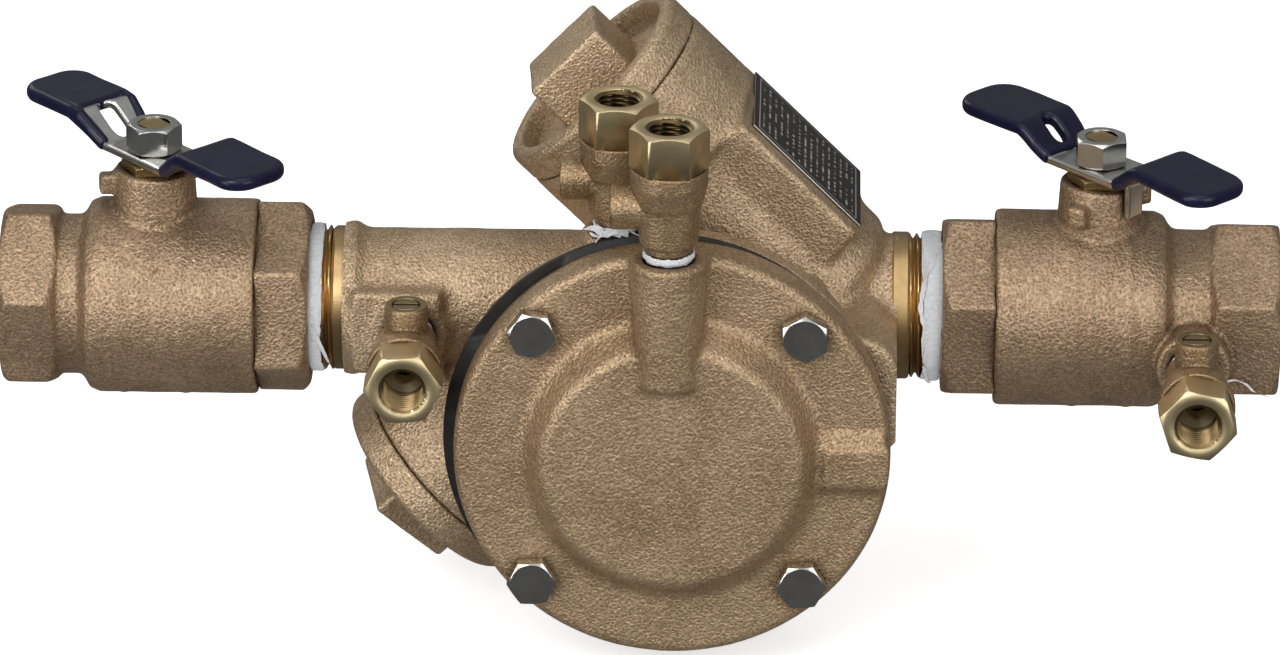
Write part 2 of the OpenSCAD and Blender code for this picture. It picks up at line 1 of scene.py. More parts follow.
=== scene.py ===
"""A backflow preventer: a cast bronze run with two check valves, a relief valve,
a ball valve at each end and four test cocks.

The run lies along X with its outlet toward -X and its inlet toward +X. The front,
where the camera stands, is -Y, and Z is up. Design sizes are in millimetres in the
row frame, or in a local frame placed in it; meshes are in metres.
"""
import json
import math
import bpy
import bmesh
import numpy as np
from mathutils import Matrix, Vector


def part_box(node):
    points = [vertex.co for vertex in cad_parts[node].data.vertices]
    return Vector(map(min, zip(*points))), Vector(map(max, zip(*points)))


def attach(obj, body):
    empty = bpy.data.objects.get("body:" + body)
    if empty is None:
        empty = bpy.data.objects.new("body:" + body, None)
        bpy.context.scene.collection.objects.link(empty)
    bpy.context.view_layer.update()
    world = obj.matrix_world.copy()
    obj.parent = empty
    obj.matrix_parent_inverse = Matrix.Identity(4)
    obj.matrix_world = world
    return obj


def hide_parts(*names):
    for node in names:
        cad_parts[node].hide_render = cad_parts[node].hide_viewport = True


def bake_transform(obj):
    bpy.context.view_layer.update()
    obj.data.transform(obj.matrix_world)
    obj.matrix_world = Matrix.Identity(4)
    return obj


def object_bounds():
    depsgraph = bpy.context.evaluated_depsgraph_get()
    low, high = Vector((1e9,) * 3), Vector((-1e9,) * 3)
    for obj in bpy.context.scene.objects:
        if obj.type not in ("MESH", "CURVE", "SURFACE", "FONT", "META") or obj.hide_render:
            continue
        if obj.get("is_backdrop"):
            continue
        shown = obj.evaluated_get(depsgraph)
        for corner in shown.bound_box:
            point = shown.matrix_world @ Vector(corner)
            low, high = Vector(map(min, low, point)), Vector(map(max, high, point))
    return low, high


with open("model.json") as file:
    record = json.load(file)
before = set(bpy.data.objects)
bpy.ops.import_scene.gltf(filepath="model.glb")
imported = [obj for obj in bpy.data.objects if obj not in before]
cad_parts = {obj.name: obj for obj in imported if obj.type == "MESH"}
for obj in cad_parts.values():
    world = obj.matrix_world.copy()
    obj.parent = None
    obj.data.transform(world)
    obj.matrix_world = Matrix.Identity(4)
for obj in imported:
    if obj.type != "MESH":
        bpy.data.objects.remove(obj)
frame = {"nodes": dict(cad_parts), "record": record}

import openvdb as vdb
from mathutils import Matrix, Vector

scene = bpy.context.scene
NODES = frame["nodes"]
RECORD = frame["record"]
CAD_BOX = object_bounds()
MM = 0.001
COARSE = 1.0
IDENTITY = Matrix.Identity(4)


# ---------------------------------------------------------------- frames
def shift(x, y, z):
    return Matrix.Translation((x, y, z))


def turn(degrees, axis):
    return Matrix.Rotation(math.radians(degrees), 4, axis)


def centre_x(node):
    lo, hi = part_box(node)
    return (lo.x + hi.x) / 2 / MM


def in_metres(matrix):
    """The same rigid placement with its translation turned from millimetres to metres."""
    return Matrix.Translation(matrix.translation * MM) @ matrix.to_3x3().to_4x4()


def moved(points, matrix):
    """Points in millimetres in a local frame -> metres in the row frame."""
    points = np.asarray(points, float).reshape(-1, 3)
    rows = np.array(matrix)
    return (points @ rows[:3, :3].T + rows[:3, 3]) * MM


OUTLET_X = centre_x("outlet_stem_packing")
INLET_X = centre_x("inlet_stem_packing")
RUN_X = OUTLET_X + 143.3

# local z is the axis of each branch, valve and cock, and points away from the run
RUN = shift(RUN_X, 0, 0)
FIRST = RUN @ shift(57, 0, 0) @ turn(-45, "Y")
SECOND = RUN @ shift(-2.7, 0, 0) @ turn(-135, "Y")
OUTLET = shift(OUTLET_X, 0, 0)
INLET = shift(INLET_X, 0, 0)
COCKS = {
    1: INLET @ shift(27.6, -33, -5.2) @ turn(90, "X"),
    2: RUN @ shift(9.6, -73, 44.9) @ turn(90, "Z"),
    3: RUN @ shift(-5.6, -44.6, 42.1) @ turn(90, "Z"),
    4: RUN @ shift(-67.3, -24.8, -1.2) @ turn(90, "X"),
}
FIRST_LIP = 40.0  # height of the branch lip along its local z
SECOND_LIP = 23.3


# ---------------------------------------------------------------- noise
def value_noise(points, seed):
    """Smooth noise from -1 to 1 with one random value per unit cell corner."""
    cell = np.floor(points).astype(np.int64)
    part = points - cell
    part = part * part * (3 - 2 * part)
    x, y, z = part[:, 0], part[:, 1], part[:, 2]

    def corner(dx, dy, dz):
        n = (
            ((cell[:, 0] + dx) * 73856093)
            ^ ((cell[:, 1] + dy) * 19349663)
            ^ ((cell[:, 2] + dz) * 83492791)
            ^ (seed * 97531)
        )
        n = (n ^ (n >> 13)) & 0x7FFFFFFF
        n = (n * 1274126177 + 12345) & 0x7FFFFFFF
        n = n ^ (n >> 15)
        return (n & 0xFFFF) / 32767.5 - 1

    def lerp(a, b, t):
        return a + (b - a) * t

    def along_x(dy, dz):
        return lerp(corner(0, dy, dz), corner(1, dy, dz), x)

    def along_y(dz):
        return lerp(along_x(0, dz), along_x(1, dz), y)

    return lerp(along_y(0), along_y(1), z)


# ---------------------------------------------------------------- meshes
def mesh_from(name, points, faces):
    """A mesh from arrays; faces is a list of index arrays, each with one row per face."""
    mesh = bpy.data.meshes.new(name)
    loops = np.concatenate([f.astype(np.int32).ravel() for f in faces])
    totals = np.concatenate([np.full(len(f), f.shape[1], np.int32) for f in faces])
    starts = np.concatenate([[0], np.cumsum(totals)[:-1]]).astype(np.int32)
    mesh.vertices.add(len(points))
    mesh.vertices.foreach_set("co", np.ascontiguousarray(points, np.float32).ravel())
    mesh.loops.add(len(loops))
    mesh.loops.foreach_set("vertex_index", loops)
    mesh.polygons.add(len(totals))
    mesh.polygons.foreach_set("loop_start", starts)
    mesh.polygons.foreach_set("loop_total", totals)
    mesh.update(calc_edges=True)
    return mesh


def vertex_points(mesh):
    points = np.empty(len(mesh.vertices) * 3, np.float32)
    mesh.vertices.foreach_get("co", points)
    return points.reshape(-1, 3)


def soup_of(mesh):
    """A mesh as a soup: its points and its triangles."""
    mesh.calc_loop_triangles()
    tris = np.empty(len(mesh.loop_triangles) * 3, np.int32)
    mesh.loop_triangles.foreach_get("vertices", tris)
    return vertex_points(mesh), tris.reshape(-1, 3)


def join_soups(soups):
    all_points, all_tris, count = [], [], 0
    for points, tris in soups:
        all_points.append(points)
        all_tris.append(tris + count)
        count += len(points)
    return (np.concatenate(all_points).astype(np.float32),
            np.concatenate(all_tris).astype(np.int32))


def level_set(points, tris, quads, voxel, half_width):
    faces = {}
    if tris is not None and len(tris):
        faces["triangles"] = np.ascontiguousarray(tris, np.uint32)
    if quads is not None and len(quads):
        faces["quads"] = np.ascontiguousarray(quads, np.uint32)
    return vdb.FloatGrid.createLevelSetFromPolygons(
        np.ascontiguousarray(points, np.float32),
        transform=vdb.createLinearTransform(voxelSize=voxel),
        halfWidth=float(half_width), **faces)


def offset_chain(soup, voxel, offsets):
    """Offsets a closed surface by each distance in turn (metres), which rounds its corners."""
    points, tris = soup
    quads = None
    for offset in offsets:
        grid = level_set(points, tris, quads, voxel, abs(offset) / voxel + 3)
        points, tris, quads = grid.convertToPolygons(isovalue=float(offset), adaptivity=0.0)
    return points, np.ascontiguousarray(quads[:, ::-1])


def vertex_normals(points, quads):
    a, b, c, d = (points[quads[:, i]] for i in range(4))
    face_normals = np.cross(c - a, d - b)
    total = np.zeros_like(points)
    for i in range(4):
        for k in range(3):
            total[:, k] += np.bincount(quads[:, i], face_normals[:, k], len(points))
    return total / np.maximum(np.linalg.norm(total, axis=1, keepdims=True), 1e-12)


def new_object(name, mesh):
    obj = bpy.data.objects.new(name, mesh)
    scene.collection.objects.link(obj)
    return obj


def apply_modifiers(obj):
    depsgraph = bpy.context.evaluated_depsgraph_get()
    depsgraph.update()
    mesh = bpy.data.meshes.new_from_object(obj.evaluated_get(depsgraph))
    obj.modifiers.clear()
    old = obj.data
    obj.data = mesh
    bpy.data.meshes.remove(old)


def decimate(obj, target):
    triangles = sum(len(p.vertices) - 2 for p in obj.data.polygons)
    target = target / COARSE
    if triangles > target:
        obj.modifiers.new("thin", "DECIMATE").ratio = target / triangles
        apply_modifiers(obj)


def boolean(obj, other, operation):
    """Combines obj with other, and uses other up."""
    cut = obj.modifiers.new("cut", "BOOLEAN")
    cut.operation = operation
    cut.solver = "MANIFOLD"
    cut.object = other
    apply_modifiers(obj)
    if len(obj.data.polygons) == 0:
        raise RuntimeError(f"{obj.name}: the boolean with {other.name} came back empty")
    bpy.data.objects.remove(other)


def smooth(obj, angle):
    obj.data.polygons.foreach_set("use_smooth", np.ones(len(obj.data.polygons), bool))
    obj.data.set_sharp_from_angle(angle=math.radians(angle))


def set_material(obj, material):
    obj.data.materials.clear()
    obj.data.materials.append(material)


def welded(node, name):
    """A copy of a CAD node's mesh with its split vertices joined, so that it is closed."""
    mesh = NODES[node].data.copy()
    obj = new_object(name, mesh)
    bm = bmesh.new()
    bm.from_mesh(mesh)
    bmesh.ops.remove_doubles(bm, verts=bm.verts, dist=2e-6)
    bmesh.ops.dissolve_degenerate(bm, edges=bm.edges, dist=1e-7)
    bm.to_mesh(mesh)
    bm.free()
    mesh.materials.clear()
    return obj


def face_outward(obj):
    bm = bmesh.new()
    bm.from_mesh(obj.data)
    bmesh.ops.recalc_face_normals(bm, faces=bm.faces)
    bm.to_mesh(obj.data)
    bm.free()
    return obj


def finish(obj, body, material, nodes=(), angle=48):
    smooth(obj, angle)
    set_material(obj, material)
    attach(obj, body)
    if nodes:
        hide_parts(*nodes)


# unevenness of a cast skin: (bump size in mm, share of the wave, seed step)
SKIN = ((9.0, 0.8, 0), (3.3, 0.35, 7), (1.5, 0.22, 13))


def casting(name, nodes, voxel, fill, edge, target, wave=0.10, extra=(), seed=1):
    """A cast part: CAD solids and extra soups with inner corners filled to radius fill,
    outer corners rounded to radius edge, and a slightly uneven skin of height wave."""
    voxel = voxel * COARSE
    soup = join_soups([soup_of(NODES[n].data) for n in nodes] + list(extra))
    points, quads = offset_chain(soup, voxel * MM, [fill * MM, -(fill + edge) * MM, edge * MM])
    normals = vertex_normals(points, quads)
    places = points / MM
    height = sum(value_noise(places / size, seed + step) * share for size, share, step in SKIN)
    points = points + normals * (height * wave * MM)[:, None]
    obj = new_object(name, mesh_from(name, points, [quads]))
    decimate(obj, target)
    return obj


def solid_from(bm, name, matrix):
    """Turns a bmesh drawn in local millimetres into an object in the row frame."""
    bmesh.ops.recalc_face_normals(bm, faces=bm.faces)
    bm.transform(Matrix.Scale(MM, 4) @ matrix)
    mesh = bpy.data.meshes.new(name)
    bm.to_mesh(mesh)
    bm.free()
    return new_object(name, mesh)


def lathe(name, profile, matrix, segments=96):
    """A solid turned about z from (radius, z) points.

    The profile starts and ends on the axis, or stays off it and closes on itself."""
    angles = np.linspace(0, 2 * np.pi, segments, endpoint=False)
    bm = bmesh.new()
    rings = []
    for radius, z in np.array(profile, float):
        if radius < 1e-9:
            rings.append([bm.verts.new((0, 0, z))] * segments)
        else:
            rings.append([bm.verts.new((x, y, z)) for x, y in
                          zip(radius * np.cos(angles), radius * np.sin(angles))])
    closed = profile[0][0] > 1e-9
    for i in range(len(rings) - (0 if closed else 1)):
        ring, after = rings[i], rings[(i + 1) % len(rings)]
        for k in range(segments):
            k1 = (k + 1) % segments
            # a vertex on the axis counts once
            corners = list(dict.fromkeys([ring[k], ring[k1], after[k1], after[k]]))
            if len(corners) > 2:
                bm.faces.new(corners)
    return solid_from(bm, name, matrix)


def lathe_soup(name, profile, matrix):
    """A turned ring as a soup, to be melted into a casting."""
    ring = lathe(name, profile, matrix)
    soup = soup_of(ring.data)
    bpy.data.objects.remove(ring)
    return soup


def prism(name, outline, z0, z1, matrix=IDENTITY):
    """A solid from a closed outline in x, y (mm) between two heights."""
    bm = bmesh.new()
    low = [bm.verts.new((x, y, z0)) for x, y in outline]
    high = [bm.verts.new((x, y, z1)) for x, y in outline]
    bm.faces.new(low[::-1])
    bm.faces.new(high)
    for i in range(len(low)):
        j = (i + 1) % len(low)
        bm.faces.new([low[i], low[j], high[j], high[i]])
    return solid_from(bm, name, matrix)


STEPS_PER_TURN = 8


def threaded(name, root, crest, pitch, z0, z1, matrix, bore=None, segments=72,
             run_in=0.0, run_out=0.0):
    """A rod (or a tube, with bore) whose outside is a helical thread between two radii.

    run_in and run_out are the lengths over which the thread fades at the ends."""
    steps = max(2, int(round((z1 - z0) / pitch * STEPS_PER_TURN)))
    z = np.linspace(z0, z1, steps + 1)
    angles = np.linspace(0, 2 * np.pi, segments, endpoint=False)
    phase = (z[:, None] / pitch - angles[None, :] / (2 * np.pi)) % 1.0
    tooth = 1 - np.abs(2 * phase - 1)
    tooth = np.clip((tooth - 0.12) / 0.76, 0, 1)  # flat roots and crests
    fade = np.ones_like(z)
    if run_in > 0:
        fade = np.minimum(fade, np.clip((z - z0) / run_in, 0, 1))
    if run_out > 0:
        fade = np.minimum(fade, np.clip((z1 - z) / run_out, 0, 1))
    r = root + (crest - root) * tooth * fade[:, None]
    heights = np.broadcast_to(z[:, None], r.shape)
    outer = np.stack([r * np.cos(angles), r * np.sin(angles), heights], -1).reshape(-1, 3)
    k = np.arange(segments)
    k1 = (k + 1) % segments
    row = np.arange(steps)[:, None] * segments
    quads = np.stack([row + k, row + k1, row + segments + k1, row + segments + k], -1)
    quads = quads.reshape(-1, 4)
    top = steps * segments
    base = len(outer)
    if bore:
        ends = np.array([[bore * math.cos(t), bore * math.sin(t), end]
                         for end in (z0, z1) for t in angles])
        low, low1 = base + k, base + k1
        high, high1 = base + segments + k, base + segments + k1
        faces = [np.concatenate([
            quads,
            np.stack([low, high, high1, low1], -1),
            np.stack([k, low, low1, k1], -1),
            np.stack([top + k, top + k1, high1, high], -1),
        ])]
    else:
        ends = [[0, 0, z0], [0, 0, z1]]
        faces = [quads, np.concatenate([
            np.stack([k1, k, np.full(segments, base)], -1),
            np.stack([top + k, top + k1, np.full(segments, base + 1)], -1),
        ])]
    points = moved(np.concatenate([outer, ends]), matrix)
    return new_object(name, mesh_from(name, points, faces))


# ---------------------------------------------------------------- shader nodes
def srgb(*levels):
    """A linear colour from 0-255 sRGB levels."""
    def linear(c):
        c = c / 255
        return c / 12.92 if c <= 0.04045 else ((c + 0.055) / 1.055) ** 2.4
    return tuple(linear(c) for c in levels) + (1.0,)


class Nodes:
    """Adds nodes to one tree. An input takes a number, a colour or an output socket."""

    def __init__(self, tree):
        self.tree = tree
        tree.nodes.clear()

    def put(self, socket, value):
        if hasattr(value, "is_output"):
            self.tree.links.new(value, socket)
        else:
            socket.default_value = value

    def add(self, kind, inputs=None, **settings):
        node = self.tree.nodes.new("ShaderNode" + kind)
        for key, value in settings.items():
            setattr(node, key, value)
        for key, value in (inputs or {}).items():
            self.put(node.inputs[key], value)
        return node

    def math(self, operation, a, b=0.5, clamp=False):
        return self.add("Math", {0: a, 1: b}, operation=operation, use_clamp=clamp).outputs[0]

    def plus(self, a, b):
        return self.math("ADD", a, b)

    def times(self, a, b, clamp=False):
        return self.math("MULTIPLY", a, b, clamp)

    def between(self, value, low, high):
        """1 inside the interval and 0 outside."""
        return self.times(self.math("GREATER_THAN", value, low),
                          self.math("LESS_THAN", value, high))

    def remap(self, value, low, high, to_low=0.0, to_high=1.0, kind="LINEAR"):
        return self.add("MapRange", {
            "Value": value, "From Min": low, "From Max": high,
            "To Min": to_low, "To Max": to_high}, interpolation_type=kind).outputs[0]


class Surface(Nodes):
    """A procedural material. Lengths are millimetres in the row frame."""

    def __init__(self, name):
        self.material = bpy.data.materials.new(name)
        self.material.use_nodes = True
        super().__init__(self.material.node_tree)
        output = self.add("OutputMaterial")
        self.shader = self.add("BsdfPrincipled")
        self.put(output.inputs[0], self.shader.outputs[0])
        coordinates = self.add("TexCoord")
        self.place = self.add("VectorMath", {0: coordinates.outputs["Object"], "Scale": 1000.0},
                              operation="SCALE").outputs[0]
        self.uv = coordinates.outputs["UV"]

    def set(self, **values):
        """Sets shader inputs, whose names are written with _ for a space."""
        for key, value in values.items():
            self.put(self.shader.inputs[key.replace("_", " ")], value)

    def stretched(self, factors):
        """The place with each axis scaled by its own factor."""
        return self.add("VectorMath", {0: self.place, 1: factors},
                        operation="MULTIPLY").outputs[0]

    def noise(self, scale, detail=3.0, rough=0.5, vector=None, distortion=0.0):
        return self.add("TexNoise", {
            "Vector": vector or self.place, "Scale": scale, "Detail": detail,
            "Roughness": rough, "Distortion": distortion}).outputs["Fac"]

    def cells(self, scale, smoothness):
        return self.add("TexVoronoi", {
            "Vector": self.place, "Scale": scale, "Smoothness": smoothness,
        }, feature="SMOOTH_F1").outputs["Distance"]

    def mix(self, factor, a, b):
        return self.add("Mix", {0: factor, 6: a, 7: b}, data_type="RGBA").outputs[2]

    def crevice(self, distance, low=0.35, high=0.95):
        """0 in corners that are closed within distance, 1 in the open."""
        node = self.add("AmbientOcclusion", {"Distance": distance * MM}, samples=6)
        return self.remap(node.outputs["AO"], low, high)

    def bevel(self, radius):
        return self.add("Bevel", {"Radius": radius * MM}, samples=4).outputs[0]

    def bump(self, height, strength, distance, normal=None):
        inputs = {"Strength": strength, "Distance": distance * MM, "Height": height}
        if normal is not None:
            inputs["Normal"] = normal
        self.set(Normal=self.add("Bump", inputs).outputs[0])


# ---------------------------------------------------------------- materials
# Colours are sRGB levels. rough is (smoothest, roughest).
def cast_metal(name, light, dark, deep, rough=(0.36, 0.56), grain=1.0, relief=1.0, crevice=4.0):
    """Sand-cast metal: blotches of light and dark, with painted shade in the deep colour in the
    pits of the grain and in corners, and painted glints on the peaks of the grain.
    """
    s = Surface(name)
    light, dark, deep = srgb(*light), srgb(*dark), srgb(*deep)
    blotch = s.noise(scale=0.05, detail=3, rough=0.55)
    mottled = s.noise(scale=0.30, detail=4, rough=0.6, distortion=0.4)
    fine = s.noise(scale=1.5 / grain, detail=2.0, rough=0.55)
    pebble = s.cells(scale=1.15 / grain, smoothness=0.3)
    grit = s.noise(scale=3.6 / grain, detail=1.0, rough=0.5)
    tone = s.plus(s.times(blotch, 0.6), s.times(mottled, 0.4))
    colour = s.mix(s.remap(tone, 0.38, 0.62), dark, light)
    height = s.plus(s.times(fine, 1.0), s.plus(s.times(pebble, 0.7), s.times(grit, 0.35)))
    # painted shade: the pits of the grain are darkened towards the deep colour
    pits = s.remap(height, 1.02, 0.72)
    # painted highlight: the peaks of the grain are lightened into glints
    peaks = s.remap(height, 1.06, 1.34)
    glint = tuple(min(1, c * 1.55) for c in light[:3]) + (1,)
    colour = s.mix(s.times(pits, 0.46), colour, deep)
    colour = s.mix(s.times(peaks, 0.45), colour, glint)
    # painted shade: corners closed within crevice are darkened towards the deep colour
    colour = s.mix(s.crevice(crevice), deep, colour)
    s.set(Base_Color=colour, Metallic=0.82,
          Roughness=s.remap(fine, 0.35, 0.65, to_low=rough[1], to_high=rough[0]))
    s.bump(height, strength=1.0, distance=0.30 * relief)
    return s.material


def machined_metal(name, light, dark, rough=(0.22, 0.36), edge=0.25, scratch=0.05, stain=0.35,
                   crevice=3.0, shade=0.75, span=(0.2, 0.9)):
    """Turned or plated metal, streaked along X.

    edge is the softening radius, scratch the bump height, stain the share of dark smears,
    crevice the reach of the corner shade, shade its strength and span its range."""
    s = Surface(name)
    light, dark = srgb(*light), srgb(*dark)
    smear = s.noise(scale=0.13, detail=4, rough=0.6, distortion=0.6)
    streak = s.noise(scale=2.2, detail=2, rough=0.6, vector=s.stretched((0.25, 3.0, 3.0)))
    speck = s.noise(scale=1.1, detail=3, rough=0.6)
    stained = s.times(s.remap(smear, 0.38, 0.66), stain, clamp=True)
    colour = s.mix(stained, light, dark)
    # painted shade: corners closed within crevice are darkened towards the dark colour
    openness = s.plus(s.times(s.crevice(crevice, *span), shade), 1 - shade)
    colour = s.mix(openness, dark, colour)
    wear = s.plus(s.times(smear, 0.6), s.times(streak, 0.4))
    s.set(Base_Color=colour, Metallic=1.0,
          Roughness=s.remap(wear, 0.35, 0.65, to_low=rough[0], to_high=rough[1]))
    s.bump(s.plus(streak, s.times(speck, 0.5)), strength=0.5, distance=scratch,
           normal=s.bevel(edge) if edge else None)
    return s.material


def vinyl_material():
    s = Surface("navy_vinyl")
    soft = s.noise(scale=0.16, detail=3, rough=0.5)
    fine = s.noise(scale=1.6, detail=2, rough=0.5)
    s.set(Base_Color=s.mix(s.remap(soft, 0.35, 0.65), srgb(11, 12, 36), srgb(15, 16, 44)),
          Metallic=0.0, Roughness=s.remap(soft, 0.3, 0.7, to_low=0.24, to_high=0.34),
          Coat_Weight=0.10, Coat_Roughness=0.18, Specular_IOR_Level=0.26)
    s.bump(s.plus(soft, s.times(fine, 0.12)), strength=0.35, distance=0.35)
    return s.material


def rubber_material():
    s = Surface("black_rubber")
    fine = s.noise(scale=1.3, detail=3, rough=0.6)
    dust = s.noise(scale=0.2, detail=4, rough=0.6)
    s.set(Base_Color=s.mix(s.remap(dust, 0.4, 0.7), srgb(16, 15, 14), srgb(34, 30, 25)),
          Roughness=s.remap(fine, 0.3, 0.7, to_low=0.5, to_high=0.7))
    s.bump(fine, strength=0.4, distance=0.08)
    return s.material


def ptfe_material():
    s = Surface("white_ptfe")
    fibre = s.noise(scale=1.6, detail=4, rough=0.65, vector=s.stretched((0.25, 2.4, 2.4)))
    cloud = s.noise(scale=0.35, detail=3, rough=0.5)
    s.set(Base_Color=s.mix(s.remap(fibre, 0.3, 0.7), srgb(176, 177, 179), srgb(216, 216, 218)),
          Roughness=s.remap(cloud, 0.3, 0.7, to_low=0.42, to_high=0.62),
          Subsurface_Weight=0.15, Subsurface_Scale=0.001)
    s.bump(fibre, strength=0.9, distance=0.22)
    return s.material


def plate_material():
    """A dark plate with rows of thin pale dashes and a ruled border, which say nothing."""
    rows = 18.0
    s = Surface("dark_plate")
    smear = s.noise(scale=0.25, detail=4, rough=0.6)
    base = s.mix(s.remap(smear, 0.35, 0.7), srgb(30, 28, 25), srgb(52, 48, 42))
    # rows run along u and are stacked along v
    u, v = s.add("SeparateXYZ", {0: s.uv}).outputs[:2]
    in_row = s.between(s.math("FRACT", s.times(v, rows)), 0.30, 0.62)
    row = s.math("FLOOR", s.times(v, rows))
    # a noise along each row breaks it into dashes
    dash_place = s.add("CombineXYZ", {0: s.times(u, 30.0), 1: s.times(row, 7.3)}).outputs[0]
    dashes = s.noise(scale=1.0, detail=1.0, rough=0.5, vector=dash_place)
    dash = s.math("GREATER_THAN", dashes, 0.53)
    text_area = s.times(s.between(u, 0.1, 0.9), s.between(v, 0.08, 0.92))
    from_middle = s.math("MAXIMUM", *(s.math("ABSOLUTE", s.math("SUBTRACT", side, 0.5))
                                      for side in (u, v)))
    border = s.between(from_middle, 0.447, 0.456)
    mark = s.math("MAXIMUM", s.times(s.times(in_row, dash), text_area), border)
    s.set(Base_Color=s.mix(s.times(mark, 0.7), base, srgb(196, 192, 182)), Metallic=0.3,
          Roughness=s.remap(smear, 0.3, 0.7, to_low=0.3, to_high=0.45))
    s.bump(s.plus(s.times(mark, -1.0), s.times(smear, 0.6)), strength=0.5, distance=0.1,
           normal=s.bevel(0.25))
    return s.material


BRONZE = cast_metal("cast_bronze_body", light=(198, 174, 143), dark=(172, 148, 118),
                    deep=(92, 70, 48))
BRONZE_COVER = cast_metal("cast_bronze_cover", light=(182, 157, 126), dark=(158, 133, 103),
                          deep=(84, 62, 40), grain=1.05)
BRONZE_VALVE = cast_metal("cast_bronze_valve", light=(174, 149, 121), dark=(150, 126, 100),
                          deep=(82, 62, 42), grain=1.1)
BRONZE_COCK = cast_metal("cast_bronze_cock", light=(170, 145, 113), dark=(140, 115, 85),
                         deep=(72, 53, 34), rough=(0.3, 0.44), grain=0.8, relief=0.6,
                         crevice=2.5)
BRASS = machined_metal("machined_brass", light=(196, 172, 122), dark=(140, 114, 74),
                       rough=(0.2, 0.34))
BRASS_COCK = machined_metal("machined_brass_cock", light=(222, 203, 160), dark=(186, 166, 126),
                            rough=(0.36, 0.46), edge=0.4, scratch=0.03, stain=0.12, shade=0.0)
BRASS_FACE = machined_metal("machined_brass_face", light=(176, 156, 116), dark=(120, 100, 66),
                            rough=(0.3, 0.42), edge=0.25, scratch=0.04, stain=0.5, shade=0.7,
                            crevice=2.0)
# a darker copy of the cock brass with strong corner darkening: painted shade for the inside of
# the tapped mouths
BRASS_PORT_SHADED = machined_metal("machined_brass_port_shaded", light=(128, 108, 76), dark=(66, 50, 30),
                            rough=(0.3, 0.42), edge=0.0, scratch=0.03, stain=0.3, shade=0.8,
                            crevice=7.0, span=(0.0, 0.55))
BRASS_THREAD = machined_metal("machined_brass_thread", light=(200, 171, 124),
                              dark=(140, 108, 66), rough=(0.26, 0.4), edge=0.0, crevice=1.2)
ZINC = machined_metal("zinc_steel", light=(214, 214, 210), dark=(158, 156, 148),
                      rough=(0.13, 0.24), edge=0.35, scratch=0.02, stain=0.4, shade=0.5)
ZINC_BOLT = machined_metal("zinc_bolt_steel", light=(206, 205, 200), dark=(160, 158, 152),
                           rough=(0.14, 0.22), edge=0.3, scratch=0.02, stain=0.5)
STAINLESS = machined_metal("stainless_steel", light=(196, 196, 194), dark=(158, 157, 154),
                           rough=(0.22, 0.34), edge=0.1, scratch=0.02)
CHROME = machined_metal("ball_chrome", light=(214, 215, 216), dark=(182, 183, 186),
                        rough=(0.06, 0.12), edge=0.4, scratch=0.005)
VINYL = vinyl_material()
RUBBER = rubber_material()
PTFE = ptfe_material()
PLATE = plate_material()

SLOT_MATERIAL = {
    "cast_bronze": BRONZE, "machined_brass": BRASS, "zinc_steel": ZINC,
    "stainless_steel": STAINLESS, "ball_chrome": CHROME, "navy_vinyl": VINYL,
    "black_rubber": RUBBER, "white_ptfe": PTFE, "dark_plate": PLATE,
}
# the record may give the slot under any of three keys
SLOT = {part["node"]: part.get("material_slot") or part.get("material") or part.get("slot")
        for part in RECORD["subparts"]}
for node, obj in NODES.items():
    set_material(obj, SLOT_MATERIAL[SLOT[node]])
    smooth(obj, 35)


# ---------------------------------------------------------------- run and its threads
def trim_box(name, x0, x1):
    """A box across the run between two x positions."""
    return prism(name, [(x0, -60), (x1, -60), (x1, 60), (x0, 60)], -60, 60)


def main_body():
    """The cast run, trimmed square where the turned and threaded ends start."""
    body = casting("main_body_casting", ["main_body"], voxel=0.85, fill=2.0, edge=0.5,
                   target=190000, wave=0.13, seed=11)
    boolean(body, trim_box("trim_a", RUN_X - 130, RUN_X - 87.3), "DIFFERENCE")
    boolean(body, trim_box("trim_b", RUN_X + 75.8, RUN_X + 130), "DIFFERENCE")
    finish(body, "casing", BRONZE, ["main_body"])


PIPE_PITCH = 2.209
PIPE_BORE = 17.0


def nipple(name, direction, tip, shoulder, land_radius, start, hidden):
    """A threaded pipe end on the -X or +X side (direction).

    Distances are from the run centre: the land spans start to shoulder, the wider exposed
    thread goes on to hidden, and the narrower thread the mate covers ends at tip."""
    axis = RUN @ turn(90 * direction, "Y")
    covered = threaded(name, 19.5, 20.93, PIPE_PITCH, hidden - 1.0, tip, axis,
                       bore=PIPE_BORE, run_out=2.0)
    exposed = threaded(name + "_out", 19.9, 21.45, PIPE_PITCH, shoulder, hidden - 0.9, axis,
                       bore=PIPE_BORE)
    profile = [(PIPE_BORE, start), (land_radius - 0.4, start), (land_radius, start + 0.4),
               (land_radius, shoulder - 0.5), (land_radius - 0.6, shoulder + 0.3),
               (PIPE_BORE, shoulder + 0.3)]
    boolean(exposed, lathe(name + "_land", profile, axis, segments=128), "UNION")
    boolean(covered, exposed, "UNION")
    finish(covered, "casing", BRASS_THREAD, angle=32)


main_body()
nipple("outlet_pipe_thread", direction=-1, tip=113.2, shoulder=90.4, land_radius=21.3,
       start=85.0, hidden=96.8)
nipple("inlet_pipe_thread", direction=1, tip=105.0, shoulder=79.4, land_radius=21.8,
       start=74.4, hidden=88.6)


# ---------------------------------------------------------------- cover, caps and valves
def relief_cover():
    cover = casting("relief_cover_casting", ["relief_cover"], voxel=0.7, fill=1.7, edge=0.5,
                    target=160000, seed=23)
    finish(cover, "casing", BRONZE_COVER, ["relief_cover"])


